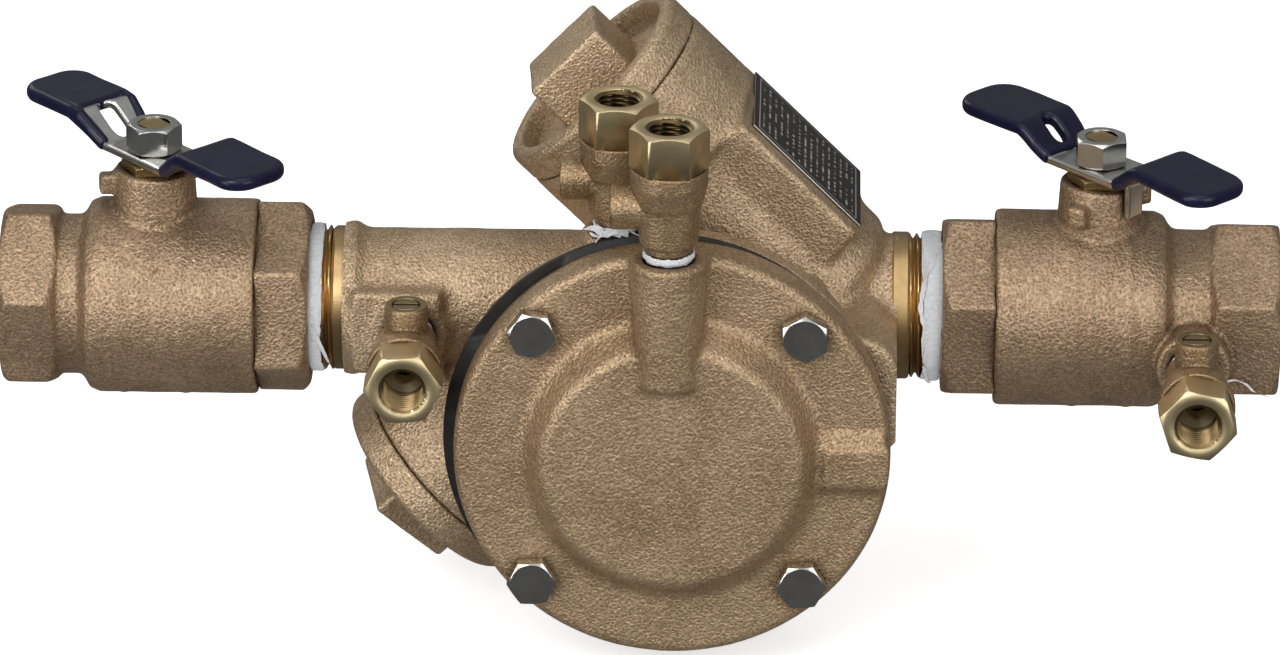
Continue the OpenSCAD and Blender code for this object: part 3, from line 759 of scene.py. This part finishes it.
def check_cap(which, seed, branch, lip):
    rim = lathe_soup("lip", [(31.4, lip + 52.3), (32.95, lip + 52.3),
                             (32.95, lip + 53.4), (31.4, lip + 53.4)], branch)
    cap = casting(f"{which}_cap_casting", [f"{which}_check_cap"], voxel=0.6, fill=0.9,
                  edge=0.3, target=80000, seed=seed, extra=[rim])
    # the guide for the poppet's stem is bored true after casting
    guide = lathe("guide", [(0, lip + 29.0), (5.1, lip + 29.0), (5.1, lip + 53.5),
                            (0, lip + 53.5)], branch, segments=64)
    boolean(cap, guide, "DIFFERENCE")
    finish(cap, "casing", BRONZE, [f"{which}_check_cap"])


def shutoff_valve(side, direction, centre, reach, seam_heights, seed):
    """A ball valve body and its end piece; reach is where the tapped mouth opens."""
    axis = centre @ turn(90 * direction, "Y")
    # faint casting seams round the barrel, added before the skin is rounded
    rings = [lathe_soup("seam", [(27.0, z - 0.5), (29.38, z - 0.3), (29.38, z + 0.3),
                                 (27.0, z + 0.5)], axis) for z in seam_heights]
    rings.append(lathe_soup("lip", [(26.0, -30.4), (28.75, -30.4), (28.75, -29.0),
                                    (26.0, -29.0)], axis))
    body = casting(f"{side}_valve_casting", [f"{side}_valve_body"], voxel=0.55, fill=0.5,
                   edge=0.3, target=150000, wave=0.11, seed=seed, extra=rings)
    tap = threaded("tap", 19.3, 21.0, PIPE_PITCH, reach - 16.5, reach + 2.0, axis, run_in=2.0)
    boolean(body, tap, "DIFFERENCE")
    finish(body, "casing", BRONZE_VALVE, [f"{side}_valve_body"])
    end = casting(f"{side}_end_casting", [f"{side}_valve_end"], voxel=0.6, fill=0.5,
                  edge=0.28, target=60000, seed=seed + 3)
    finish(end, "casing", BRONZE_VALVE, [f"{side}_valve_end"])


relief_cover()
check_cap("first", seed=31, branch=FIRST, lip=FIRST_LIP)
check_cap("second", seed=37, branch=SECOND, lip=SECOND_LIP)
shutoff_valve("outlet", direction=-1, centre=OUTLET, reach=45.3, seam_heights=(-9.0, 9.4),
              seed=41)
shutoff_valve("inlet", direction=1, centre=INLET, reach=53.5, seam_heights=(-7.0, 9.0),
              seed=47)

# ---------------------------------------------------------------- test cocks
COCK_PITCH = 1.411
STEM_HEIGHT = 15.8  # where the stem crosses the cock's axis
# profiles of (radius, z)
COLLAR = [(7.8, 17.7), (9.95, 17.7), (10.15, 18.7), (11.2, 23.8), (11.2, 28.2), (7.8, 28.2)]
BOSS_FACE = [(4.2, 16.1), (6.05, 16.1), (6.2, 16.3), (6.2, 16.5), (6.0, 16.7), (4.35, 16.7),
             (4.2, 16.55)]
STEM_END = [(0, 12.7), (3.94, 12.7), (3.94, 16.35), (3.65, 16.65), (0, 16.65)]
MOUTH = [(5.0, 38.2), (8.3, 38.2), (8.3, 40.66), (5.0, 40.66)]
MOUTH_CHAMFER = [(0, 39.95), (6.25, 39.95), (7.35, 40.95), (0, 40.95)]
STEM_SLOT = [(-6, -0.76), (6, -0.76), (6, 0.76), (-6, 0.76)]  # x, y


def cock_casting(number, axis):
    # the collar steps out from the barrel with a sharp lower edge
    body = casting(f"test_cock_{number}_casting", [f"test_cock_{number}_body"], voxel=0.28,
                   fill=0.35, edge=0.2, target=40000, wave=0.04, seed=50 + number,
                   extra=[lathe_soup("collar", COLLAR, axis)])
    finish(body, "casing", BRONZE_COCK, [f"test_cock_{number}_body"])


def cock_stem(number, axis):
    """The machined end of the stem boss, and the slotted stem end that stands in it."""
    side = axis @ shift(0, 0, STEM_HEIGHT) @ turn(-90, "X")
    face = lathe(f"test_cock_{number}_boss_face", BOSS_FACE, side)
    finish(face, "casing", BRASS_FACE, angle=30)
    stem = lathe(f"test_cock_{number}_stem_end", STEM_END, side, segments=64)
    boolean(stem, prism("slot", STEM_SLOT, 13.3, 17.6, side), "DIFFERENCE")
    finish(stem, f"cock_{number}", BRASS_FACE, angle=30)


def cock_end(number, axis):
    """The hexagonal end with its tapped and chamfered mouth."""
    end = welded(f"test_cock_{number}_end", f"test_cock_{number}_hex")
    boolean(end, lathe("mouth", MOUTH, axis), "UNION")
    tap = threaded("tap", 5.85, 6.85, COCK_PITCH, 29.6, 43.0, axis, segments=64, run_in=1.0)
    boolean(end, tap, "DIFFERENCE")
    boolean(end, lathe("rim", MOUTH_CHAMFER, axis), "DIFFERENCE")
    finish(end, "casing", BRASS_COCK, [f"test_cock_{number}_end"], angle=30)
    # the threads inside take a darker copy of the brass: painted shade for the inside of the
    # mouth
    end.data.materials.append(BRASS_PORT_SHADED)
    to_local = axis.inverted()
    for face in end.data.polygons:
        centre = to_local @ (face.center / MM)
        if math.hypot(centre.x, centre.y) < 6.95 and 29.0 < centre.z < 40.5:
            face.material_index = 1


for number, axis in COCKS.items():
    cock_casting(number, axis)
    cock_stem(number, axis)
    cock_end(number, axis)

# ---------------------------------------------------------------- handles
# rest: angle of the handle; rear: where the rear grip starts; droop: fall of the front tip
HANDLES = {
    "outlet": dict(centre=OUTLET, rest=47, rear=24.6, rear_slot=False, droop=0.4),
    "inlet": dict(centre=INLET, rest=46, rear=12.8, rear_slot=True, droop=1.6),
}
FRONT_GRIP_START = 16.0
GRIP_TIP = 51.2
GRIP_HALF_WIDTH = 11.5
GRIP_NECK = 9.6  # half width at the inner end
GRIP_HALF_THICK = 2.1
GRIP_RADIUS = 1.75
WIDE_X = 27.0  # where a wing reaches its full width


def wing_outline(start, tip, half_width, corner, neck, steps=10):
    """Half a handle seen from above, x outward: a neck that widens to a round-cornered end."""
    side = [(start, neck), (14.5, neck), (18.5, (neck + half_width) / 2 + 0.2),
            (23.0, half_width - 0.15), (WIDE_X, half_width)]
    turns = [t * math.pi / 2 / steps for t in range(steps + 1)]
    x, y = tip - corner, half_width - corner
    points = [(px, -py) for px, py in side]
    points += [(x + corner * math.sin(t), -(y + corner * math.cos(t))) for t in turns]
    points += [(x + corner * math.cos(t), y + corner * math.sin(t)) for t in turns]
    return points + side[::-1]


def wing_height(x):
    """Height of the plate's middle surface along a half handle, eased round both bends."""
    t = np.clip((x - 12.6) / (24.2 - 12.6), 0, 1)
    rise = t * t * (3 - 2 * t) * 0.55 + t * 0.45
    return 45.4 + 7.4 * rise


def sag(x, droop):
    """How far a wing hangs at x, in metres; droop is in mm."""
    return droop * MM * np.clip((x - 20) / 25, 0, 1) ** 1.5


def round_slot(near=18.6, far=21.6, radius=3.9, steps=8):
    turns = [i * math.pi / steps for i in range(steps + 1)]
    points = [(far + radius * math.sin(t), -radius * math.cos(t)) for t in turns]
    points += [(near - radius * math.sin(t), radius * math.cos(t)) for t in turns]
    return prism("slot", points, 38, 60)


def grip(name, placed, start, slot, droop=0.0):
    """The vinyl of one wing: a thin bent core grown outwards, which rounds its edges."""
    outline = wing_outline(start + GRIP_RADIUS, GRIP_TIP - GRIP_RADIUS,
                           GRIP_HALF_WIDTH - GRIP_RADIUS, corner=6.2,
                           neck=GRIP_NECK - GRIP_RADIUS)
    half_core = GRIP_HALF_THICK - GRIP_RADIUS
    core = prism(name, outline, -half_core, half_core)
    bm = bmesh.new()
    bm.from_mesh(core.data)
    # cuts across the core let it bend
    for x in np.arange(math.ceil(start + GRIP_RADIUS) + 0.3, WIDE_X, 0.6):
        parts = bm.verts[:] + bm.edges[:] + bm.faces[:]
        bmesh.ops.bisect_plane(bm, geom=parts, plane_co=(x * MM, 0, 0), plane_no=(1, 0, 0))
    for v in bm.verts:
        x = v.co.x / MM
        v.co.z += float(wing_height(np.array(x))) * MM - sag(x, droop)
    bm.to_mesh(core.data)
    bm.free()
    if slot:
        boolean(core, round_slot(), "DIFFERENCE")
    core.data.transform(placed)
    points, quads = offset_chain(soup_of(core.data), 0.36 * COARSE * MM, [GRIP_RADIUS * MM])
    bpy.data.objects.remove(core)
    normals = vertex_normals(points, quads)
    points = points + normals * (value_noise(points / MM / 9.0, 71) * 0.14 * MM)[:, None]
    return new_object(name, mesh_from(name, points, [quads]))


def handle_plate(side, placed, droop):
    """The steel plate, drooped like its front grip and trimmed to stay inside both grips."""
    plate = casting(f"{side}_handle_plate", [f"{side}_handle"], voxel=0.34, fill=1.6,
                    edge=0.4, target=60000, wave=0.015, seed=61)
    to_local = np.array(placed.inverted())
    points = vertex_points(plate.data)
    along = (points @ to_local[:3, :3].T + to_local[:3, 3])[:, 0] / MM
    points[:, 2] -= sag(along, droop)
    plate.data.vertices.foreach_set("co", points.ravel())
    plate.data.update()
    outline = wing_outline(0, 49.7, half_width=10.3, corner=7.2, neck=10.3)
    half = [(x, y) for x, y in outline if x > 20]
    keep = prism("keep", half + [(-x, -y) for x, y in half], 30, 60)
    keep.data.transform(placed)
    boolean(plate, keep, "INTERSECT")
    finish(plate, f"{side}_shutoff", ZINC, [f"{side}_handle"])


def handle(side, centre, rest, rear, rear_slot, droop):
    placed = in_metres(centre @ turn(-rest, "Z"))
    handle_plate(side, placed, droop)
    grips = (
        grip(f"{side}_grip_front", placed, FRONT_GRIP_START, slot=False, droop=droop),
        grip(f"{side}_grip_rear", placed @ turn(180, "Z"), rear, slot=rear_slot),
    )
    for piece in grips:
        decimate(piece, 40000)
        finish(piece, f"{side}_shutoff", VINYL, angle=60)
    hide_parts(f"{side}_handle_grips")


for side, sizes in HANDLES.items():
    handle(side, **sizes)


# ---------------------------------------------------------------- name plate
def name_plate():
    """A thin sheet beside the first check's branch: dark faces and bare steel edges."""
    x0, width = -18, 42
    y0, height = 17.6, 44.6
    x1, y1 = x0 + width, y0 + height
    plate = prism("name_plate_sheet", [(x0, y0), (x1, y0), (x1, y1), (x0, y1)], 0, 0.7)
    uv = plate.data.uv_layers.new(name="UVMap")
    for loop in plate.data.loops:
        co = plate.data.vertices[loop.vertex_index].co / MM
        uv.data[loop.index].uv = ((co.x - x0) / width, (co.y - y0) / height)
    # sheet x -> branch y, sheet y -> branch z, sheet z -> branch x
    axes = Matrix(((0, 0, 1, 28.04), (1, 0, 0, 0), (0, 1, 0, 0), (0, 0, 0, 1)))
    plate.data.transform(in_metres(FIRST @ axes))
    bevel = plate.modifiers.new("soft", "BEVEL")
    bevel.width = 0.25 * MM
    bevel.segments = 3
    apply_modifiers(plate)
    finish(plate, "casing", PLATE, ["name_plate"], angle=40)
    plate.data.materials.append(STAINLESS)
    outward = (FIRST.to_3x3() @ Vector((1, 0, 0))).normalized()
    for face in plate.data.polygons:
        if abs(face.normal.dot(outward)) < 0.8:
            face.material_index = 1


name_plate()

# ---------------------------------------------------------------- PTFE tape
# loose strands round the run: name, width, thickness, seed, (x, degrees, radius) stations
RUN_STRANDS = [
    ("outlet", 1.3, 0.22, 311, [
        (-95.6, 2, 21.9), (-94.6, -8, 22.2), (-93.2, -20, 22.3), (-92.0, -32, 22.2),
        (-91.3, -42, 21.8)]),
    ("inlet_a", 2.2, 0.24, 313, [
        (87.8, 66, 22.3), (85.5, 52, 22.8), (83.6, 36, 22.9), (82.8, 20, 22.7),
        (84.2, 4, 22.5)]),
    ("inlet_b", 1.6, 0.24, 317, [
        (84.0, -30, 22.5), (85.0, -50, 22.8), (86.0, -68, 22.9), (85.2, -86, 22.6)]),
]
# loose strands at the cocks: the same, with (x, y, z) stations, x from the run centre
COCK_STRANDS = [
    ("cock_1", 0.9, 0.25, 341, [
        (168.5, -24.0, -16.5), (171.5, -26.6, -12.5), (175.0, -26.2, -11.2),
        (178.5, -25.8, -12.6), (180.5, -25.6, -14.6), (182.5, -20.5, -17.9),
        (186.5, -13.0, -22.4)]),
    ("cock_3a", 2.6, 0.22, 343, [
        (-2.5, -52.4, 43.6), (-6.0, -53.2, 44.6), (-9.0, -52.0, 43.2), (-12.0, -51.4, 44.8),
        (-15.5, -50.2, 44.0)]),
    ("cock_3b", 2.2, 0.22, 347, [
        (-4.5, -52.8, 43.0), (-8.0, -52.0, 43.8), (-11.0, -52.2, 42.6), (-13.6, -51.0, 43.2)]),
    ("cock_3c", 0.7, 0.2, 349, [
        (-10.0, -52.4, 43.4), (-11.6, -52.6, 41.4), (-12.6, -52.4, 39.0),
        (-14.6, -51.8, 36.6), (-17.6, -51.0, 34.8)]),
    ("cock_3d", 1.2, 0.25, 353, [(-1.5, -52.2, 44.2), (1.5, -53.2, 43.2), (2.6, -53.0, 44.8)]),
]
# section of a strand: (across, through), as shares of its half width and half thickness
STRAND_SECTION = [(-1, -0.35), (-0.6, -1), (0.6, -1), (1, -0.35),
                  (1, 0.35), (0.6, 1), (-0.6, 1), (-1, 0.35)]


def add_tape(obj, nodes=()):
    finish(face_outward(obj), "casing", PTFE, nodes, angle=50)


def tape_wrap(name, x0, x1, r0, r1, layers, seed, axis, ragged=0.9, segments=220):
    """Thin wraps of tape between x0 and x1 along an axis and between two radii, each a
    closed skin with uneven edges, folds and a slight taper."""
    rng = np.random.default_rng(seed)
    length = x1 - x0
    points, faces, base = [], [], 0
    angles = np.linspace(0, 2 * np.pi, segments, endpoint=False)
    cos, sin = np.cos(angles), np.sin(angles)
    k = np.arange(segments)
    k1 = (k + 1) % segments
    share = np.linspace(0, 1, 7) if False else [s / 6 for s in range(7)]
    for layer in range(layers):
        phase = rng.uniform(0, 100)
        q = np.stack([cos * 2.2 + phase, sin * 2.2, np.full_like(angles, layer * 3.1)], -1)
        low = (x0 + (layer % 2) * 0.35 * length * rng.uniform(0.2, 1)
               + ragged * 0.55 * value_noise(q, seed) + 0.25 * value_noise(q * 4, seed + 1))
        high = (x1 - ((layer + 1) % 2) * 0.3 * length * rng.uniform(0.2, 1)
                + ragged * 0.55 * value_noise(q + 31, seed + 2)
                + 0.3 * value_noise(q * 5, seed + 3))
        low = np.maximum(low, x0 - 0.2)
        r = r0 + (r1 - r0) * (layer + 0.5) / layers + 0.16 * value_noise(q * 3, seed + 4)
        # out along the outer skin, then back along the inner one
        stations = [(t, 0.13) for t in share] + [(1 - t, 0.0) for t in share]
        for t, thickness in stations:
            crease = np.stack([cos * 6 + phase, sin * 6, np.full_like(angles, t * 2.2)], -1)
            fold = 0.16 * value_noise(crease, seed + 5)
            radius = r + fold - 0.25 * (2 * t - 1) ** 4 + thickness
            radius = np.maximum(radius, r0 - 0.12)
            points.append(np.stack([radius * cos, radius * sin, low + (high - low) * t], -1))
        for i in range(len(stations)):
            row = i * segments
            after = (i + 1) % len(stations) * segments
            faces.append(np.stack([row + k, row + k1, after + k1, after + k], -1) + base)
        base += len(stations) * segments
    mesh = mesh_from(name, moved(np.concatenate(points), axis), [np.concatenate(faces)])
    return new_object(name, mesh)


def smooth_path(stations, samples=9):
    """A Catmull-Rom curve through the stations."""
    stations = np.array(stations, float)
    last = len(stations) - 1
    path = []
    for place in np.linspace(0, last, len(stations) * samples):
        k = min(int(place), last - 1)
        f = place - k
        p0, p1, p2, p3 = (stations[i] for i in (max(k - 1, 0), k, k + 1, min(k + 2, last)))
        path.append(0.5 * ((2 * p1) + (p2 - p0) * f + (2 * p0 - 5 * p1 + 4 * p2 - p3) * f * f
                           + (3 * p1 - p0 - 3 * p2 + p3) * f ** 3))
    return np.array(path)


def strand(name, stations, width, thickness, seed):
    """A loose ribbon of tape: a closed flat tube that twists and narrows."""
    path = smooth_path(stations)
    count, sides = len(path), len(STRAND_SECTION)
    tangent = np.gradient(path, axis=0)
    tangent /= np.linalg.norm(tangent, axis=1, keepdims=True)
    q = path / 4.0
    twist = value_noise(q, seed) * 1.2
    taper = np.minimum(1, np.linspace(0, 1, count)[::-1] * 4 + 0.25)
    widths = width * (0.65 + 0.35 * value_noise(q * 2, seed + 1)) * taper
    up = np.cross(tangent, np.array([0.0, -1.0, 0.2]))
    up /= np.linalg.norm(up, axis=1, keepdims=True)
    across = up * np.cos(twist)[:, None] + np.cross(tangent, up) * np.sin(twist)[:, None]
    through = np.cross(tangent, across)
    points = np.concatenate([
        path + across * (widths * 0.5 * a)[:, None] + through * (thickness * 0.5 * b)
        for a, b in STRAND_SECTION])
    i = np.arange(count - 1)
    starts = [(s * count, (s + 1) % sides * count) for s in range(sides)]
    skin = [np.stack([a + i, a + i + 1, b + i + 1, b + i], -1) for a, b in starts]
    caps = [np.array([[s * count for s in range(sides)]]),
            np.array([[s * count + count - 1 for s in range(sides)][::-1]])]
    mesh = mesh_from(name, points * MM, [np.concatenate(skin), np.concatenate(caps)])
    return new_object(name, mesh)


def on_run(x, degrees, radius):
    """A point on a circle round the run; 0 degrees faces -Y and 90 is up."""
    angle = math.radians(degrees)
    return (RUN_X + x, -radius * math.cos(angle), radius * math.sin(angle))


RUN_AXIS = RUN @ turn(90, "Y")
add_tape(tape_wrap("tape_outlet", -97.2, -93.4, r0=21.2, r1=22.0, layers=3, seed=301,
                   axis=RUN_AXIS), ["thread_tape"])
add_tape(tape_wrap("tape_inlet", 83.2, 88.9, r0=21.2, r1=22.3, layers=4, seed=307,
                   axis=RUN_AXIS, ragged=1.6))
for name, width, thickness, seed, stations in RUN_STRANDS:
    stations = [on_run(*station) for station in stations]
    add_tape(strand(f"tape_strand_{name}", stations, width, thickness, seed))
for name, width, thickness, seed, stations in COCK_STRANDS:
    stations = [(RUN_X + x, y, z) for x, y, z in stations]
    add_tape(strand(f"tape_strand_{name}", stations, width, thickness, seed))
for number, axis in COCKS.items():
    # cock 3 has a narrower, tighter wrap
    wrap = (dict(x0=1.0, x1=2.6, r0=6.7, r1=7.15, ragged=0.3) if number == 3
            else dict(x0=0.15, x1=2.5, r0=6.75, r1=7.45, ragged=0.4))
    add_tape(tape_wrap(f"tape_cock_{number}", layers=2, seed=330 + number, axis=axis,
                       segments=96, **wrap))


# ---------------------------------------------------------------- springs and diaphragm
def giving(name, node, angle=60):
    """A closed copy of a CAD node, smoothed, with the node's material and placed in the row
    frame; the node is hidden.
    """
    obj = welded(node, name)
    smooth(obj, angle)
    obj.data.materials.append(SLOT_MATERIAL[SLOT[node]])
    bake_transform(obj)
    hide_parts(node)


for which, axis, lip in (("first", FIRST, FIRST_LIP), ("second", SECOND, SECOND_LIP)):
    giving(f"{which}_check_coil", f"{which}_check_spring")
giving("relief_coil", "relief_spring")
giving("relief_diaphragm_hat", "relief_diaphragm",
       angle=40)

# ---------------------------------------------------------------- bolts and stems
BRASS_STEM = machined_metal("machined_brass_stem", light=(150, 132, 96), dark=(92, 76, 48),
                            rough=(0.26, 0.38), edge=0.2, scratch=0.05, stain=0.6)
set_material(NODES["cover_bolts"], ZINC_BOLT)
for number in COCKS:
    set_material(NODES[f"test_cock_{number}_plug"], BRASS_STEM)


# ---------------------------------------------------------------- floor and world
def floor():
    """A pale, faintly glowing floor just below everything, reaching farther to the back."""
    floor_z = min(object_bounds()[0][2], CAD_BOX[0][2]) - 0.0008
    bm = bmesh.new()
    bmesh.ops.create_grid(bm, x_segments=8, y_segments=8, size=6.0)
    for v in bm.verts:
        v.co.z = floor_z
        v.co.y += 2.0
    mesh = bpy.data.meshes.new("floor")
    bm.to_mesh(mesh)
    bm.free()
    obj = new_object("floor", mesh)
    s = Surface("pale_floor")
    cloud = s.noise(scale=0.004, detail=2, rough=0.5)
    s.set(Base_Color=s.mix(cloud, srgb(238, 238, 238), srgb(244, 244, 244)), Roughness=0.9,
          Emission_Color=(1.0, 1.0, 1.0, 1.0), Emission_Strength=0.60)
    obj.data.materials.append(s.material)
    obj.visible_glossy = False
    obj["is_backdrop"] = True


def studio_world():
    """A studio that is bright above and in front, dim behind and below."""
    world = bpy.data.worlds.new("studio")
    scene.world = world
    world.use_nodes = True
    w = Nodes(world.node_tree)
    output = w.add("OutputWorld")
    background = w.add("Background", {"Strength": 1.0})
    w.put(output.inputs[0], background.outputs[0])
    coordinates = w.add("TexCoord")
    direction = w.add("SeparateXYZ", {0: coordinates.outputs["Generated"]})
    y, z = direction.outputs[1:3]

    def ease(value, low, high):
        return w.remap(value, low, high, kind="SMOOTHSTEP")

    above = ease(z, -0.2, 1.0)
    in_front = w.times(ease(w.times(y, -1.0), -0.1, 0.9), ease(z, -0.25, 0.35))
    glow = w.plus(w.times(above, 0.28), w.times(in_front, 0.66))
    w.put(background.inputs["Color"], w.plus(glow, 0.105))


floor()
studio_world()

# ---------------------------------------------------------------- lights and camera
TARGET = Vector((RUN_X * MM, 0, -0.0085))  # metres
# name, place from the target (m), size (m), power (W)
LIGHTS = [
    ("key", (-0.60, -1.15, 0.85), 0.7, 9.0),
    ("fill", (1.0, -1.15, 0.35), 0.9, 5.5),
    ("top", (0.1, -0.2, 1.35), 0.9, 3.0),
    ("low_left", (-1.15, -0.95, 0.0), 0.6, 4.5),
    ("back", (-0.7, 1.0, 0.75), 0.7, 2.0),
]
CAMERA_HEIGHT_ANGLE = math.radians(23.5)
CAMERA_SIDE_ANGLE = math.radians(1.2)
CAMERA_ROLL = math.radians(0.35)
CAMERA_DISTANCE = 2.5


def facing_target(place):
    aim = (TARGET - place).to_track_quat("-Z", "Y").to_matrix().to_4x4()
    return Matrix.Translation(place) @ aim


for name, offset, size, power in LIGHTS:
    lamp = bpy.data.lights.new(name, "AREA")
    lamp.energy = power
    lamp.size = size
    new_object(name, lamp).matrix_world = facing_target(TARGET + Vector(offset))

lens = bpy.data.cameras.new("camera")
lens.lens = 237
lens.sensor_width = 36
lens.clip_end = 50
camera = new_object("camera", lens)
toward_camera = Vector((
    math.sin(CAMERA_SIDE_ANGLE) * math.cos(CAMERA_HEIGHT_ANGLE),
    -math.cos(CAMERA_SIDE_ANGLE) * math.cos(CAMERA_HEIGHT_ANGLE),
    math.sin(CAMERA_HEIGHT_ANGLE),
))
camera.matrix_world = (facing_target(TARGET + CAMERA_DISTANCE * toward_camera)
                       @ Matrix.Rotation(CAMERA_ROLL, 4, "Z"))
scene.camera = camera
scene.view_settings.view_transform = "Standard"
scene.view_settings.look = "None"
scene.view_settings.exposure = 0.0
